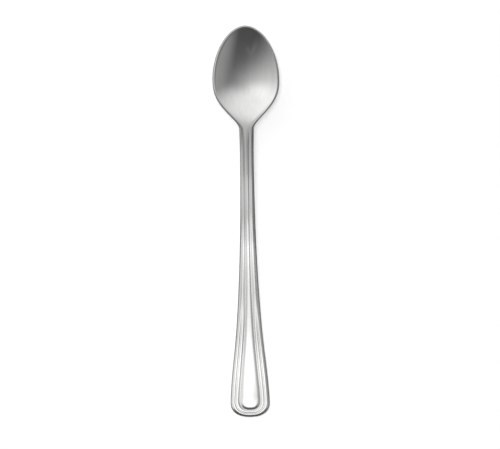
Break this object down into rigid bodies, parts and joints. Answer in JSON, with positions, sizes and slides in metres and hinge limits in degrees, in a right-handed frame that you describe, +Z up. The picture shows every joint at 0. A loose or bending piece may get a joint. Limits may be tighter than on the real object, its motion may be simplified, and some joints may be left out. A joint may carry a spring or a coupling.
{
  "type": "iced tea spoon",
  "caption": "Long iced tea spoon in polished stainless steel, with an oval bowl, a beaded stem and a flared handle with a raised panel inside a double-bead border.",
  "frame": {"origin": "on the table that the spoon lies on, under the middle of its box", "axes": "+Y from the end of the handle to the tip of the bowl, +Z up out of the bowl's hollow, +X across the spoon"},
  "size_m": [0.0324, 0.19, 0.0157],
  "materials": {
    "polished_steel": "polished stainless steel with a soft sheen"
  },
  "bodies": {
    "root": {"bowl": "polished_steel", "neck": "polished_steel", "stem": "polished_steel", "handle": "polished_steel"}
  },
  "joints": []
}
